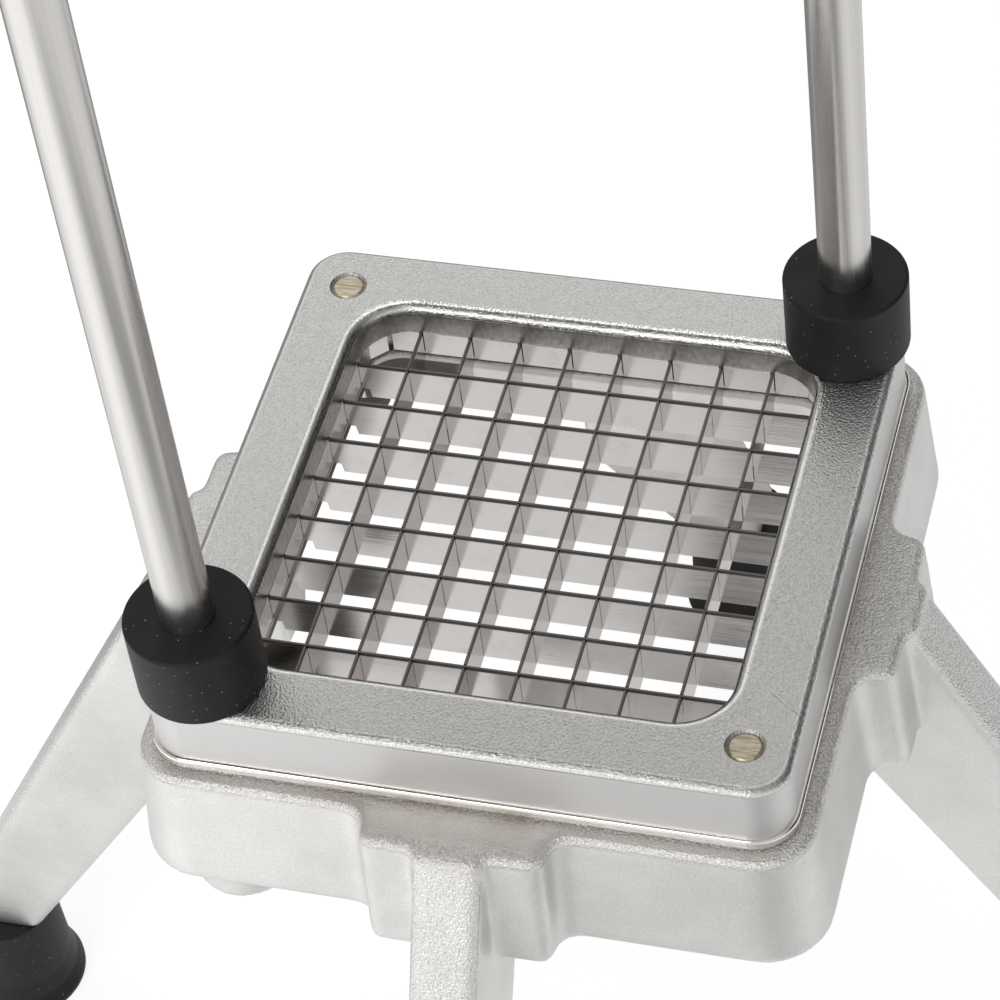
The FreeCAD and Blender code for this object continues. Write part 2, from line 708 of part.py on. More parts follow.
def handle_arm():
    """Right arm: a tapered cast bar with a bolted foot and an eye for the grip bar."""
    low = z_plate
    foot_half, eye = ARM_FOOT_HALF, ARM_EYE_RADIUS
    x = arm_inner
    bar = polygon([(x, -foot_half, low), (x, foot_half, low), (x, eye, z_grip), (x, -eye, z_grip)])
    bar = bar.extrude(V(ARM_THICK, 0, 0))
    bar = bar.fuse(cylinder_x(eye, x, x + ARM_THICK, 0, z_grip))
    flange = box((x - ARM_FLANGE, x + ARM_THICK), (-foot_half, foot_half), (low, low + ARM_FLANGE_THICK))
    body = bar.fuse(flange).removeSplitter()
    corner = edges_near(body, lambda p: abs(p.x - x) < FIT and abs(p.z - low - ARM_FLANGE_THICK) < FIT)
    body = body.makeFillet(ARM_FILLET, corner)
    rim = ARM_POCKET_EDGE
    face = x + ARM_THICK
    pocket = polygon([
        (face, -foot_half + rim, low + ARM_FLANGE_THICK + rim),
        (face, foot_half - rim, low + ARM_FLANGE_THICK + rim),
        (face, eye - rim, z_grip - eye - rim),
        (face, -eye + rim, z_grip - eye - rim),
    ]).extrude(V(-ARM_POCKET_DEPTH, 0, 0))
    body = body.cut(pocket)
    body = body.cut(cylinder_x(BAR_RADIUS + FIT, x - 1, face + 1, 0, z_grip))
    hole = SCREW_RADIUS + FIT
    holes = [cylinder(hole, low - 1, low + ARM_FLANGE_THICK + 1, at) for at in arm_screw_places]
    return body.cut(Part.makeCompound(holes))


def grip():
    """Moulded grip, fuller in the middle, with a collar at each end."""
    half = GRIP_LENGTH / 2
    ring = half - GRIP_COLLAR
    bore = BAR_RADIUS + FIT
    edges = [
        line((-half, bore, 0), (-half, GRIP_RADIUS, 0)),
        line((-half, GRIP_RADIUS, 0), (-ring, GRIP_RADIUS, 0)),
        line((-ring, GRIP_RADIUS, 0), (-ring, GRIP_WAIST, 0)),
        arc_through((-ring, GRIP_WAIST, 0), (0, GRIP_RADIUS, 0), (ring, GRIP_WAIST, 0)),
        line((ring, GRIP_WAIST, 0), (ring, GRIP_RADIUS, 0)),
        line((ring, GRIP_RADIUS, 0), (half, GRIP_RADIUS, 0)),
        line((half, GRIP_RADIUS, 0), (half, bore, 0)),
        line((half, bore, 0), (-half, bore, 0)),
    ]
    solid = Part.Face(Part.Wire(edges)).revolve(V(), V(1, 0, 0), 360)
    solid.translate(V(0, 0, z_grip))
    return solid


def cap_nut(side):
    """Domed nut on an end of the grip bar, against the arm's outer face."""
    turns = [math.radians(60 * i) for i in range(6)]
    corners = [(0, CAP_NUT_RADIUS * math.cos(a), CAP_NUT_RADIUS * math.sin(a)) for a in turns]
    nut = polygon(corners).extrude(V(CAP_NUT_HEX, 0, 0))
    rim, tip = CAP_NUT_DOME_RADIUS, CAP_NUT_DOME
    s = math.sqrt(0.5)
    dome = Part.Face(Part.Wire([
        line((0, 0, 0), (0, rim, 0)),
        arc_through((0, rim, 0), (tip * s, rim * s, 0), (tip, 0, 0)),
        line((tip, 0, 0), (0, 0, 0)),
    ])).revolve(V(), V(1, 0, 0), 360)
    dome.translate(V(CAP_NUT_HEX, 0, 0))
    nut = nut.fuse(dome).cut(cylinder_x(BAR_RADIUS + FIT, -1, BAR_THREAD + FIT, 0, 0))
    nut.translate(V(arm_inner + ARM_THICK, 0, z_grip))
    if side < 0:
        nut.rotate(V(), UP, 180)
    return nut


def turned_copies(shape, count):
    """Copies of a piece turned evenly about the Z axis."""
    copies = []
    for turn in range(count):
        copy = shape.copy()
        copy.rotate(V(), UP, 360 / count * turn)
        copies.append(copy)
    return copies


save("base_casting", base_casting())
for side, piece in zip(("front", "right", "back", "left"), turned_copies(foot(), 4)):
    save("foot_" + side, piece)
save("foot_screws", Part.makeCompound(turned_copies(foot_screw(), 4)))

for side, at in rod_places.items():
    save("guide_rod_" + side, guide_rod(at))
    save("bumper_" + side, bumper(at))
    save("bushing_" + side, bushing(at))
save("rod_set_screws", Part.makeCompound([set_screw(at) for at in rod_places.values()]))

save("blade_frame", blade_frame())
for side, piece in zip(("back", "left", "front", "right"), turned_copies(holder_strip(), 4)):
    save("holder_strip_" + side, piece)
row_blade = blade(True)
column_blade = blade(False)
column_blade.rotate(V(), UP, 90)
for number, place in enumerate(blade_places, 1):
    save("row_blade_%d" % number, row_blade.translated(V(0, place, 0)))
    save("column_blade_%d" % number, column_blade.translated(V(place, 0, 0)))

for side, at in clamp_places.items():
    save("clamp_stud_" + side, clamp_stud(at))
    save("wing_head_" + side, wing_head(at))

save("head_casting", head_casting())
save("pusher_block", pusher_block())
save("pusher_screws", Part.makeCompound(
    [cap_screw(at, z_plate, HEAD_THICK + SCREW_BITE) for at in pusher_screw_places]))
arm = handle_arm()
for side, piece in zip(("right", "left"), turned_copies(arm, 2)):
    save("handle_arm_" + side, piece)
save("arm_screws", Part.makeCompound(
    [cap_screw(at, z_plate + ARM_FLANGE_THICK, ARM_FLANGE_THICK + SCREW_BITE) for at in arm_screw_places]))
save("grip", grip())
bar_half = arm_inner + ARM_THICK + BAR_THREAD
save("grip_bar", cylinder_x(BAR_RADIUS, -bar_half, bar_half, 0, z_grip))
save("grip_cap_nuts", Part.makeCompound([cap_nut(1), cap_nut(-1)]))
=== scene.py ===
import math

import bpy
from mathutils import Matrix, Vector


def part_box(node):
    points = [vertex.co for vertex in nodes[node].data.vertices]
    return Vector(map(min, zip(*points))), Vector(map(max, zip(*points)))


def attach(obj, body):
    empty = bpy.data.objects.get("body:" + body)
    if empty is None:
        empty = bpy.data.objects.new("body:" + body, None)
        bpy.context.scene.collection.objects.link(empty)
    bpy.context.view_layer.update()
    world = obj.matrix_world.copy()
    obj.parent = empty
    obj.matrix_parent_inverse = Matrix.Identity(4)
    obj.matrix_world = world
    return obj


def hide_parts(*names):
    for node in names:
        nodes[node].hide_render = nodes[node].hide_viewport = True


# The cutter stands on its four feet at height 0, under the middle of the blade grid.
# Every length is in metres. The solids come in first and keep their places.
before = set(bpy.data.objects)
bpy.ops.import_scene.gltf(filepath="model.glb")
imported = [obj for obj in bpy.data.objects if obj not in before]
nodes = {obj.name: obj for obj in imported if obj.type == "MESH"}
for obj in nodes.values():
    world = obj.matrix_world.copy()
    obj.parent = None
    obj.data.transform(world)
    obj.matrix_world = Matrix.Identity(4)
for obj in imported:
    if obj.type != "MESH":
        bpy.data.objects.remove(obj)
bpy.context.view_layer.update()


# The camera looks down on the blade grid from the front right, through a long lens. Its place
# and turn were fitted to the crossings of the blades and the corners of the frame.
CAMERA_PLACE = (0.2040, -0.5573, 0.8928)
CAMERA_TURN = (41.94, 5.77, 14.49)
CAMERA_LENS = 136.0
CAMERA_FILM = 36.0
NEAREST = 0.01
FARTHEST = 30.0
camera_data = bpy.data.cameras.new("camera")
camera_data.lens = CAMERA_LENS
camera_data.sensor_width = CAMERA_FILM
camera_data.clip_start = NEAREST
camera_data.clip_end = FARTHEST
camera = bpy.data.objects.new("camera", camera_data)
camera.location = CAMERA_PLACE
camera.rotation_euler = [math.radians(angle) for angle in CAMERA_TURN]
bpy.context.scene.collection.objects.link(camera)
bpy.context.scene.camera = camera
bpy.context.scene.view_settings.view_transform = "Standard"


# The studio: a plain white floor and soft light, brightest low at the back and at the front
# left, and dim overhead and at the back right, where black flags stood. Camera rays see white,
# and the floor keeps the cutter's faint shadow.
class Number:
    """A shader value: sums and products of it add Math nodes to its finish."""

    def __init__(self, finish, socket):
        self.finish = finish
        self.socket = socket

    def math(self, operation, first, second=0.0):
        return self.finish.node("ShaderNodeMath", {"operation": operation}, {0: first, 1: second})

    def __add__(self, other):
        return self.math("ADD", self, other)

    def __radd__(self, other):
        return self.math("ADD", other, self)

    def __sub__(self, other):
        return self.math("SUBTRACT", self, other)

    def __rsub__(self, other):
        return self.math("SUBTRACT", other, self)

    def __mul__(self, other):
        return self.math("MULTIPLY", self, other)

    def __rmul__(self, other):
        return self.math("MULTIPLY", other, self)

    def __pow__(self, other):
        return self.math("POWER", self, other)

    def __abs__(self):
        return self.math("ABSOLUTE", self)

    def over(self, other):
        """The larger of two values."""
        return self.math("MAXIMUM", self, other)


class Finish:
    """A material, or the world, that is put together from shader nodes."""

    def __init__(self, name, owner=None):
        self.owner = owner or bpy.data.materials.new(name)
        self.owner.use_nodes = True
        self.tree = self.owner.node_tree
        self.surface = self.tree.nodes.get("Principled BSDF") or self.tree.nodes["Background"]

    def node(self, kind, settings=None, sockets=None, output=0):
        """Add a node: its settings come first, then the values or links of its sockets."""
        made = self.tree.nodes.new(kind)
        for key, value in (settings or {}).items():
            setattr(made, key, value)
        for key, value in (sockets or {}).items():
            self.plug(made.inputs[key], value)
        return Number(self, made.outputs[output])

    def plug(self, socket, value):
        """Link a value to a socket, or set it there."""
        if isinstance(value, Number):
            self.tree.links.new(value.socket, socket)
        elif socket.type == "RGBA":
            socket.default_value = (*value, 1)
        else:
            socket.default_value = value

    def set(self, **values):
        """Give the surface shader its values or links, by socket name."""
        for key, value in values.items():
            self.plug(self.surface.inputs[key.replace("_", " ")], value)

    def place(self, output="Object"):
        return self.node("ShaderNodeTexCoord", {}, {}, output)

    def part(self, vector, axis):
        return self.node("ShaderNodeSeparateXYZ", {}, {0: vector}, axis)

    def facing(self, axis):
        """How far the surface faces along an axis, from -1 to 1."""
        return self.part(self.place("Normal"), axis)

    def ease(self, value, low, high, start=0.0, end=1.0):
        """Go smoothly from start to end while the value goes from low to high."""
        spans = {"Value": value, "From Min": low, "From Max": high, "To Min": start, "To Max": end}
        return self.node("ShaderNodeMapRange", {"interpolation_type": "SMOOTHSTEP"}, spans)

    def spread(self, size, stretch=(1, 1, 1)):
        """Object coordinates in lumps of one size, longer where stretch is small."""
        return self.node("ShaderNodeMapping", {}, {"Vector": self.place(), "Scale": Vector(stretch) / size})

    def noise(self, size, detail=2.0, rough=0.5, stretch=(1, 1, 1)):
        """Cloudy noise from 0 to 1 whose lumps are about one size across."""
        sockets = {"Vector": self.spread(size, stretch), "Scale": 1.0, "Detail": detail, "Roughness": rough}
        return self.node("ShaderNodeTexNoise", {}, sockets)

    def pebbles(self, size):
        """Round bumps packed side by side, 1 at the top of each."""
        sockets = {"Vector": self.spread(size), "Scale": 1.0, "Smoothness": 0.6}
        return 1 - self.node("ShaderNodeTexVoronoi", {"feature": "SMOOTH_F1"}, sockets)

    def specks(self, spacing, radius, stretch=(1, 1, 1)):
        """Small round spots some way apart, 1 inside and 0 outside."""
        far = self.node("ShaderNodeTexVoronoi", {}, {"Vector": self.spread(spacing, stretch), "Scale": 1.0})
        return self.ease(far, radius / spacing, 0.6 * radius / spacing)

    def patch(self, middle, turn, size):
        """Distance from the middle of a turned oval on a level face, 1 at its edge."""
        sockets = {"Vector": self.place(), "Location": (*middle, 0), "Rotation": (0, 0, turn),
                   "Scale": (*size, 1)}
        shade_inside = self.node("ShaderNodeMapping", {"vector_type": "TEXTURE"}, sockets)
        return self.node("ShaderNodeVectorMath", {"operation": "LENGTH"}, {0: shade_inside}, 1)

    def blend(self, amount, first, second):
        """Mix two colours: all first at 0, all second at 1."""
        return self.node("ShaderNodeMix", {"data_type": "RGBA"}, {0: amount, 6: first, 7: second}, 2)

    def bump(self, height, depth):
        """Bend the surface by a height from 0 to 1 that stands for a depth in metres."""
        return self.node("ShaderNodeBump", {}, {"Height": height, "Strength": 1.0, "Distance": depth})

    def give(self, *names):
        """Put this finish on solids of the frame, by node name."""
        for name in names:
            nodes[name].data.materials.clear()
            nodes[name].data.materials.append(self.owner)


world = bpy.data.worlds.new("studio")
bpy.context.scene.world = world
studio = Finish("studio", world)
ROOM_LIGHT = 0.58
FRONT_EXTRA = 0.04
OVERHEAD_SHADE = 0.50
BACK_EXTRA = 0.26
RIGHT_EXTRA = 0.34
FLAG_SHADE = 0.56
FLAG_TOWARDS = Vector((0.80, 0.58, 0.10)).normalized()
direction = studio.place("Generated")
rightness = studio.part(direction, "X")
backness = studio.part(direction, "Y")
height = studio.part(direction, "Z")
towards_flag = studio.node("ShaderNodeVectorMath", {"operation": "DOT_PRODUCT"},
                           {0: direction, 1: FLAG_TOWARDS}, 1)
front = studio.ease(0 - backness, -0.1, 0.9)
flag = studio.ease(towards_flag, 0.42, 0.90)
overhead = studio.ease(height, 0.64, 0.92)
backward = studio.ease(height, 0.40, 0.52) * studio.ease(backness, 0.2, 0.5)
rightward = studio.ease(rightness, -0.27, -0.13) * studio.ease(height, 0.70, 0.76)
glow = (ROOM_LIGHT + front * FRONT_EXTRA + rightward * RIGHT_EXTRA + backward * BACK_EXTRA
        - overhead * OVERHEAD_SHADE - flag * FLAG_SHADE)
seen = studio.node("ShaderNodeLightPath", {}, {}, "Is Camera Ray")
DAYLIGHT = (1.0, 0.995, 0.985)
studio.set(Color=DAYLIGHT, Strength=(1 - seen) * glow + seen)

FLOOR_SIZE = 8.0
bpy.ops.object.select_all(action="DESELECT")
bpy.ops.mesh.primitive_plane_add(size=FLOOR_SIZE)
floor = bpy.context.object
floor.name = "floor"
paper = Finish("white_paper")
FLOOR_WHITE = (0.36, 0.36, 0.36)
FLOOR_GLOW = 0.80
# The glow that the floor gives to glossy rays is painted light and shade: a painted pool of light at the
# front left, and painted shade in an oval patch at the front right, at the back left and along the back.
PAINTED_TABLE_GLOW = 0.72
DARK_SPOT = (0.145, -0.36)
DARK_SPOT_TURN = math.radians(54)
DARK_SPOT_SIZE = (0.34, 0.14)
SPOT_SHADE = 0.72
BACK_LEFT_SHADE = 0.56
BACK_SHADE = 0.12
FRONT_LEFT_EXTRA = 0.36
seen = paper.node("ShaderNodeLightPath", {}, {}, "Is Camera Ray")
glossy = paper.node("ShaderNodeLightPath", {}, {}, "Is Glossy Ray")
where = paper.place()
across = paper.part(where, "X")
along = paper.part(where, "Y")
spot = paper.ease(paper.patch(DARK_SPOT, DARK_SPOT_TURN, DARK_SPOT_SIZE), 1.0, 0.35)
back_left = paper.ease(across, 0.14, -0.04) * paper.ease(along, 0.02, 0.20)
front_left = paper.ease(across, -0.08, -0.24) * paper.ease(along, -0.08, -0.24)
back = paper.ease(along, 0.02, 0.16)
painted_table_light = PAINTED_TABLE_GLOW - spot * SPOT_SHADE - back_left * BACK_LEFT_SHADE - back * BACK_SHADE
painted_table_light = (painted_table_light + front_left * FRONT_LEFT_EXTRA).over(0.0)
paper.set(Base_Color=FLOOR_WHITE, Roughness=0.9, Specular_IOR_Level=0.1, Emission_Color=(1, 1, 1),
          Emission_Strength=seen * FLOOR_GLOW + glossy * (1 - seen) * painted_table_light)
floor.data.materials.append(paper.owner)

LAMPS = {
    "soft_box": ((-0.50, -1.45, 1.25), 1.0, 7.5),
    "top_light": ((-0.1, 0.15, 1.7), 0.5, 3.2),
}
for name, (spot, width, power) in LAMPS.items():
    lamp_data = bpy.data.lights.new(name, "AREA")
    lamp_data.size = width
    lamp_data.energy = power
    lamp = bpy.data.objects.new(name, lamp_data)
    lamp.location = spot
    lamp.rotation_euler = (Vector((0, 0, 0.22)) - Vector(spot)).to_track_quat("-Z", "Y").to_euler()
    bpy.context.scene.collection.objects.link(lamp)


# The base: one aluminium casting with a flared skirt, a ledge and four splayed legs.
# Its edges came out of the sand soft. Faces that look up kept the mould's pebbled skin, and
# the skirt's walls drew out smooth. Old grease lies along the joint with the frame.
def joined_copy(node, name):
    """A new piece from a solid's mesh, with its loose triangles joined at their corners."""
    bpy.ops.object.select_all(action="DESELECT")
    piece = bpy.data.objects.new(name, nodes[node].data.copy())
    bpy.context.scene.collection.objects.link(piece)
    piece.select_set(True)
    bpy.context.view_layer.objects.active = piece
    bpy.ops.object.mode_set(mode="EDIT")
    bpy.ops.mesh.select_all(action="SELECT")
    bpy.ops.mesh.remove_doubles(threshold=JOIN_WITHIN)
    bpy.ops.object.mode_set(mode="OBJECT")
    return piece


def modify(piece, kind, **settings):
    """Add a modifier with its settings and apply it."""
    modifier = piece.modifiers.new(kind.lower(), kind)
    for key, value in settings.items():
        setattr(modifier, key, value)
    bpy.context.view_layer.objects.active = piece
    bpy.ops.object.modifier_apply(modifier=modifier.name)


JOIN_WITHIN = 0.000002
SAND_GRID = 0.0009
SAND_PASSES = 16
MOST_TRIANGLES = 190000
casting = joined_copy("base_casting", "cast_base")
modify(casting, "REMESH", mode="VOXEL", voxel_size=SAND_GRID, use_smooth_shade=True)
modify(casting, "SMOOTH", factor=0.5, iterations=SAND_PASSES)
modify(casting, "DECIMATE", ratio=min(1.0, MOST_TRIANGLES / (2 * len(casting.data.polygons))))
bpy.ops.object.shade_smooth()

frame_low, frame_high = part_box("blade_frame")
FRAME_CORNER = 0.0095
LIP_PROUD = 0.0010
frame_core = frame_high.x - LIP_PROUD - FRAME_CORNER


def reach(finish, core):
    """Distance out from a square of half width core: the same all along a rounded square."""
    where = finish.place()
    across = (abs(finish.part(where, "X")) - core).over(0.0)
    along = (abs(finish.part(where, "Y")) - core).over(0.0)
    return (across * across + along * along) ** 0.5


cast = Finish("cast_aluminium")
where = cast.place()
east = cast.part(where, "X")
south = 0 - cast.part(where, "Y")
rise = cast.part(where, "Z")
out = reach(cast, frame_core)
skyward = cast.ease(cast.facing("Z"), 0.16, 0.34)
slant = cast.ease(cast.facing("Z"), 0.93, 0.80)
on_ledge = cast.ease(rise, frame_low.z - 0.0030, frame_low.z - 0.0018)

LIP_REACH = FRAME_CORNER + LIP_PROUD
GREASE_WIDTH = 0.0045
GREASE_MIDDLE = -0.004
JOINT_GREASE = 0.55
FRONT_GREASE = 0.42
joint = cast.ease(out, LIP_REACH + GREASE_WIDTH, LIP_REACH) * on_ledge
smudge = cast.ease(south, 0.070, 0.078) * cast.ease(abs(east - GREASE_MIDDLE), 0.055, 0.012) * on_ledge
blotch = cast.ease(cast.noise(0.012, 3.0, 0.6), 0.25, 0.7, 0.55, 1.0)
grease = (joint * JOINT_GREASE + smudge * FRONT_GREASE) * blotch

PEBBLE = 0.00058
SAND = 0.00062
FINE_GRAIN = 0.0005
SKIN_DEPTH = 0.00050
LEDGE_WIDTH = 0.0044
PAD_PROUD = 0.0089
pad_edge = frame_high.y + LEDGE_WIDTH + PAD_PROUD
pebble = cast.pebbles(PEBBLE) * 0.4 + cast.noise(SAND, 2.0, 0.65) * 0.6
calm = cast.ease(south, 0.074, 0.080) * cast.ease(south, pad_edge - 0.0020, pad_edge - 0.0050)
calm = calm * on_ledge * cast.ease(slant, 0.3, 0.0) * 0.85
height = skyward * (1 - calm) * pebble + cast.noise(FINE_GRAIN, 2.0, 0.5) * 0.22

# Painted shade: within the skirt's inner walls the casting is painted near black below the deck, and on the
# left from the chute's edge down, where shade falls in the hollow.
INNER_HALF = 0.0604
UNSHADED_CHUTE = 0.0038
LIGHT_CHUTE = 0.0060
DARK_CORNER = -0.032
chute_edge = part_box("holder_strip_back")[0].z - UNSHADED_CHUTE
deck_under = chute_edge - LIGHT_CHUTE
shade_corner = cast.ease(rise, chute_edge, chute_edge - 0.0003) * cast.ease(east, DARK_CORNER, DARK_CORNER - 0.006)
shade_inside = cast.ease(abs(east).over(abs(south)), INNER_HALF + 0.0003, INNER_HALF)
shade_inside = shade_inside * cast.ease(rise, deck_under, deck_under - 0.0010).over(shade_corner)

BARE_CAST = (0.83, 0.82, 0.805)
DULL_CAST = (0.74, 0.73, 0.715)
OLD_GREASE = (0.40, 0.345, 0.28)
DARK_PIT = (0.30, 0.29, 0.27)
GLINT_WHITE = (1.0, 0.99, 0.965)
GREY_SPECK = (0.52, 0.51, 0.50)
UNDER_DECK_SHADE = (0.09, 0.085, 0.078)
PIT_SPACING = 0.011
PIT_RADIUS = 0.00035
pits = cast.specks(PIT_SPACING, PIT_RADIUS) * 0.5 * (1 - skyward)
# Painted glints: the tops of the pebbles on faces that look up are painted near white, as highlights.
glint_paint = cast.ease(pebble, 0.36, 0.64) * skyward * (1 - calm)
speckle = cast.ease(cast.noise(0.0007, 3.0, 0.7), 0.42, 0.62) * (1 - skyward)
colour = cast.blend(cast.ease(cast.noise(0.03, 3.0, 0.6), 0.35, 0.7), BARE_CAST, DULL_CAST)
colour = cast.blend(grease, colour, OLD_GREASE)
colour = cast.blend(pits, colour, DARK_PIT)
colour = cast.blend(glint_paint * 0.55, colour, GLINT_WHITE)
colour = cast.blend(speckle * 0.16, colour, GREY_SPECK)
colour = cast.blend(shade_inside, colour, UNDER_DECK_SHADE)
cast.set(Base_Color=colour, Metallic=cast.ease(skyward, 0.0, 1.0, 0.94, 0.66),
         Roughness=cast.ease(skyward, 0.0, 1.0, 0.44, 0.27) + grease * 0.25,
         Normal=cast.bump(height, SKIN_DEPTH))
casting.data.materials.clear()
casting.data.materials.append(cast.owner)
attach(casting, "base")
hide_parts("base_casting")

# The frame over the blades: a finer aluminium casting, satin and stippled on top, drawn smooth
# on its sides, with the lip round its foot polished bright by wear.
satin = Finish("satin_casting")
rise = satin.part(satin.place(), "Z")
up = satin.facing("Z")
skyward = satin.ease(up, 0.10, 0.30)
LIP_HEIGHT = 0.0024
lip_top = frame_low.z + LIP_HEIGHT
lip = satin.ease(rise, lip_top + 0.0003, lip_top - 0.0001)
WINDOW_HALF = 0.05745
WINDOW_CORNER = 0.0130
WINDOW_ROUND = 0.0028
window_edge = WINDOW_CORNER + WINDOW_ROUND
window = satin.ease(reach(satin, WINDOW_HALF - WINDOW_CORNER), window_edge + 0.0002, window_edge - 0.0003)

STIPPLE = 0.00055
STIPPLE_SAND = 0.00060
STIPPLE_DEPTH = 0.00034
SCRATCH_AT = (0.0702, -0.0494)
SCRATCH_TURN = math.radians(-35)
SCRATCH_SIZE = (0.0050, 0.00030)
pebble = satin.pebbles(STIPPLE) * 0.3 + satin.noise(STIPPLE_SAND, 2.0, 0.65) * 0.7
scratch = satin.ease(satin.patch(SCRATCH_AT, SCRATCH_TURN, SCRATCH_SIZE), 1.1, 0.6)
height = skyward * (1 - lip) * (1 - window * 0.45) * pebble
height = height + satin.noise(FINE_GRAIN, 2.0, 0.5) * 0.07 - scratch * 0.8

TOP_GREY = (0.665, 0.66, 0.645)
SIDE_GREY = (0.68, 0.67, 0.66)
STIPPLE_GLINT_WHITE = (1.0, 0.995, 0.98)
BAND_SHADE_GREY = (0.38, 0.375, 0.365)
CREASE_HIGHLIGHT_WHITE = (1.0, 1.0, 0.99)
WALL_DARKENING = (0.24, 0.232, 0.22)
POLISHED = (0.86, 0.84, 0.81)
FRESH_SCRATCH = (0.98, 0.97, 0.95)
# Painted glints: the tops of the stipple on faces that look up are painted near white, as highlights.
glint_paint = satin.ease(pebble, 0.34, 0.62) * skyward
# Painted light on the frame's rounded edges: a thin painted highlight where the top turns down, and a
# painted darker band below it on the rounding.
band_shade = satin.ease(up, 0.60, 0.70) * satin.ease(up, 0.95, 0.90)
crease_highlight = satin.ease(up, 0.93, 0.96) * satin.ease(up, 0.997, 0.985)
# The window's inner walls are darkened in streaks.
wall_streaks = satin.ease(satin.noise(0.0012, 3.0, 0.7, (1.0, 1.0, 0.5)), 0.2, 0.8, 0.45, 0.95)
colour = satin.blend(skyward, SIDE_GREY, TOP_GREY)
colour = satin.blend(glint_paint * 0.42, colour, STIPPLE_GLINT_WHITE)
colour = satin.blend(band_shade * 0.6, colour, BAND_SHADE_GREY)
colour = satin.blend(crease_highlight, colour, CREASE_HIGHLIGHT_WHITE)
colour = satin.blend(wall_streaks * window * (1 - skyward), colour, WALL_DARKENING)
colour = satin.blend(lip, colour, POLISHED)
colour = satin.blend(scratch, colour, FRESH_SCRATCH)
satin.set(Base_Color=colour, Metallic=1.0,
          Roughness=satin.ease(skyward, 0.0, 1.0, 0.44, 0.31) - lip * 0.22 - window * 0.13,
          Normal=satin.bump(height, STIPPLE_DEPTH))
satin.give("blade_frame")

# The head and its arms: sand cast in the same metal as the base. Their faces keep the mould's
# skin all round, as nothing rubs on them.
HEAD_PEBBLE = 0.0007
HEAD_SKIN_DEPTH = 0.00020
HEAD_DARK = (0.66, 0.655, 0.64)
HEAD_LIGHT = (0.76, 0.755, 0.74)
head_skin = Finish("head_aluminium")
skin = head_skin.pebbles(HEAD_PEBBLE) * 0.5 + head_skin.noise(HEAD_PEBBLE, 2.0, 0.6) * 0.5
colour = head_skin.blend(head_skin.noise(0.02, 3.0, 0.6), HEAD_DARK, HEAD_LIGHT)
head_skin.set(Base_Color=colour, Metallic=1.0, Roughness=0.36, Normal=head_skin.bump(skin, HEAD_SKIN_DEPTH))
head_skin.give("head_casting", "handle_arm_left", "handle_arm_right")

# The blades: stainless sheet, slotted into each other, with cutting edges that are ground at
# the top and look dark. Starch has left faint smears on them.
GROUND = 0.0011
BRIGHT_STEEL = (0.605, 0.58, 0.565)
SMEARED = (0.48, 0.455, 0.44)
DARK_EDGE = (0.20, 0.185, 0.175)
STREAK_DEPTH = 0.00002
blade_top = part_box("row_blade_1")[1].z
blade = Finish("blade_steel")
rise = blade.part(blade.place(), "Z")
edge = blade.ease(rise, blade_top - GROUND, blade_top - GROUND * 0.5)
streak = blade.noise(0.0012, 3.0, 0.6, (0.06, 0.06, 1.0))
smear = blade.ease(blade.noise(0.007, 3.0, 0.6), 0.5, 0.8) * 0.5
colour = blade.blend(smear, BRIGHT_STEEL, SMEARED)
colour = blade.blend(edge, colour, DARK_EDGE)
blade.set(Base_Color=colour, Metallic=1.0, Roughness=0.13 + streak * 0.08 + edge * 0.25,
          Normal=blade.bump(streak, STREAK_DEPTH))
for direction in ("row", "column"):
    blade.give(*["%s_blade_%d" % (direction, number) for number in range(1, 9)])

# The strips round the grid: slotted stainless, bent at the corners, with the blades' ends in
# the slots. Their tops, which line the window, carry a painted highlight, and their feet a
# painted dark line of shade.
FOOT_SHADE_HEIGHT = 0.0007
STRIP_TOP_HIGHLIGHT = (0.95, 0.94, 0.92)
STRIP_FOOT_SHADE = (0.10, 0.09, 0.085)
strip_low, strip_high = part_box("holder_strip_back")
strip = Finish("strip_steel")
rise = strip.part(strip.place(), "Z")
brushed = strip.noise(0.0008, 2.0, 0.5, (0.1, 0.1, 1.0))
smear = strip.ease(strip.noise(0.007, 3.0, 0.6), 0.5, 0.8) * 0.5
foot_shade = strip.ease(rise, strip_low.z + FOOT_SHADE_HEIGHT, strip_low.z + FOOT_SHADE_HEIGHT * 0.6)
top_highlight = strip.ease(rise, strip_high.z - 0.0003, strip_high.z - 0.0001)
colour = strip.blend(smear, BRIGHT_STEEL, SMEARED)
colour = strip.blend(foot_shade, strip.blend(top_highlight, colour, STRIP_TOP_HIGHLIGHT), STRIP_FOOT_SHADE)
strip.set(Base_Color=colour, Metallic=1.0, Roughness=0.16 + brushed * 0.08 + foot_shade * 0.3 + top_highlight * 0.2)
strip.give(*["holder_strip_" + side for side in ("front", "right", "back", "left")])

# The guide rods, and the bar through the grip: steel bar, ground round and streaked along its
# length. Set screws in the base's bosses lock the rods.
ALONG_BAR = (1, 1, 0.006)
BAR_DARK = (0.60, 0.585, 0.565)
BAR_LIGHT = (0.78, 0.765, 0.745)
BAR_GREY = (0.50, 0.485, 0.47)
BAR_STREAK_DEPTH = 0.000012
rod = Finish("ground_bar")
streak = rod.noise(0.0008, 3.0, 0.6, ALONG_BAR)
grey = rod.noise(0.004, 2.0, 0.5, (1, 1, 0.02)) * 0.3
colour = rod.blend(grey, rod.blend(streak, BAR_DARK, BAR_LIGHT), BAR_GREY)
rod.set(Base_Color=colour, Metallic=1.0, Roughness=0.20 + streak * 0.12,
        Normal=rod.bump(streak, BAR_STREAK_DEPTH))
rod.give("guide_rod_front_left", "guide_rod_back_right", "grip_bar")

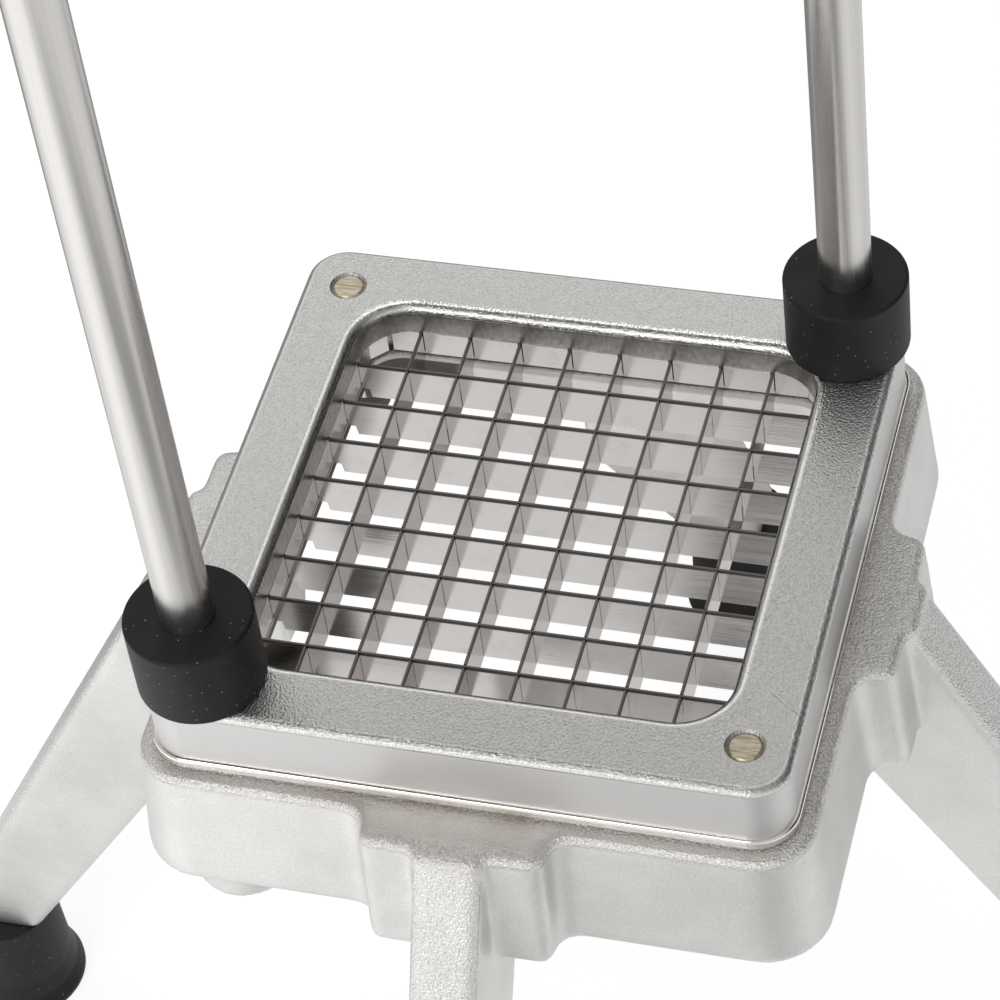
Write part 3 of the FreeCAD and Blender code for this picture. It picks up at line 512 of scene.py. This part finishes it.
# Rubber: thick rings on the rods take the head's blow, and flared feet stand on the table. Both
# are moulded black, with a faint bloom and pale dust.
DUST_SPACING = 0.0023
DUST_RADIUS = 0.00024
DUST = (0.42, 0.40, 0.37)
RUBBER_BLACK = (0.009, 0.009, 0.0085)
RUBBER_BLOOM = (0.018, 0.0175, 0.017)
RUBBER_DEPTH = 0.00004
rubber = Finish("black_rubber")
dust = rubber.specks(DUST_SPACING, DUST_RADIUS) * 0.6
bloom = rubber.ease(rubber.noise(0.01, 3.0, 0.6), 0.3, 0.8)
colour = rubber.blend(dust, rubber.blend(bloom, RUBBER_BLACK, RUBBER_BLOOM), DUST)
rubber.set(Base_Color=colour, Roughness=0.52, Specular_IOR_Level=0.30,
           Normal=rubber.bump(rubber.noise(0.0008, 2.0, 0.5), RUBBER_DEPTH))
rubber.give("bumper_front_left", "bumper_back_right")
rubber.give("foot_front", "foot_right", "foot_back", "foot_left")

# The clamps: yellow-plated studs whose sawn ends show in the frame's top, with wing heads under
# the deck. Below the frame they are painted dark as shade, and are rougher.
STUD_UNSHADED_ABOVE = 0.220
STUD_SHADE_RUN = 0.010
PLATING_DARK = (0.50, 0.43, 0.30)
PLATING_LIGHT = (0.78, 0.72, 0.58)
STUD_SHADE_DARK = (0.075, 0.07, 0.062)
SAWN_DEPTH = 0.00005
plated = Finish("yellow_plating")
sawn = plated.noise(0.0005, 2.0, 0.5, (0.12, 1.0, 1.0))
# Painted shade: the plating is painted near black below the frame, where it sits in the shade of the deck.
under_frame_shade = plated.ease(plated.part(plated.place(), "Z"), STUD_UNSHADED_ABOVE, STUD_UNSHADED_ABOVE - STUD_SHADE_RUN)
colour = plated.blend(plated.ease(sawn, 0.35, 0.65), PLATING_DARK, PLATING_LIGHT)
colour = plated.blend(under_frame_shade * 0.85, colour, STUD_SHADE_DARK)
plated.set(Base_Color=colour, Metallic=1.0, Roughness=0.34 + sawn * 0.12 + under_frame_shade * 0.3,
           Normal=plated.bump(sawn, SAWN_DEPTH))
plated.give("clamp_stud_back_left", "clamp_stud_front_right")
plated.give("wing_head_back_left", "wing_head_front_right")

# Screws and nuts: bright steel through the feet, the head and the handle, and black oxide on
# the set screws in the base's bosses.
SCREW_DARK = (0.55, 0.55, 0.55)
SCREW_LIGHT = (0.7, 0.7, 0.69)
OXIDE_BLACK = (0.02, 0.02, 0.02)
OXIDE_GREY = (0.05, 0.05, 0.055)
screw = Finish("screw_steel")
brushed = screw.noise(0.0008, 2.0, 0.5)
screw.set(Base_Color=screw.blend(brushed, SCREW_DARK, SCREW_LIGHT), Metallic=1.0,
          Roughness=0.25 + brushed * 0.1)
screw.give("foot_screws", "pusher_screws", "arm_screws", "grip_cap_nuts")
black = Finish("black_oxide")
mottle = black.noise(0.001, 2.0, 0.5)
black.set(Base_Color=black.blend(mottle, OXIDE_BLACK, OXIDE_GREY), Metallic=0.6, Roughness=0.4)
black.give("rod_set_screws")

# The finger block and the bushings: natural white plastic, milled from bar, with the cutter's
# faint lines left on it.
PLASTIC_SHADE = (0.74, 0.74, 0.71)
PLASTIC_WHITE = (0.80, 0.80, 0.78)
MILL_DEPTH = 0.00002
white = Finish("white_plastic")
mill = white.noise(0.0007, 2.0, 0.5, (0.1, 1.0, 1.0))
white.set(Base_Color=white.blend(mill, PLASTIC_SHADE, PLASTIC_WHITE), Roughness=0.42,
          Normal=white.bump(mill, MILL_DEPTH))
white.give("pusher_block", "bushing_front_left", "bushing_back_right")

# The grip: a black plastic sleeve on its bar, moulded with a fine leather grain, and held
# between the arms by the cap nuts.
GRIP_BLACK = (0.015, 0.015, 0.016)
GRIP_GREY = (0.03, 0.03, 0.031)
LEATHER_DEPTH = 0.0001
grip = Finish("grip_plastic")
leather = grip.noise(0.0009, 2.0, 0.5)
grip.set(Base_Color=grip.blend(leather, GRIP_BLACK, GRIP_GREY), Roughness=0.48,
         Normal=grip.bump(leather, LEATHER_DEPTH))
grip.give("grip")
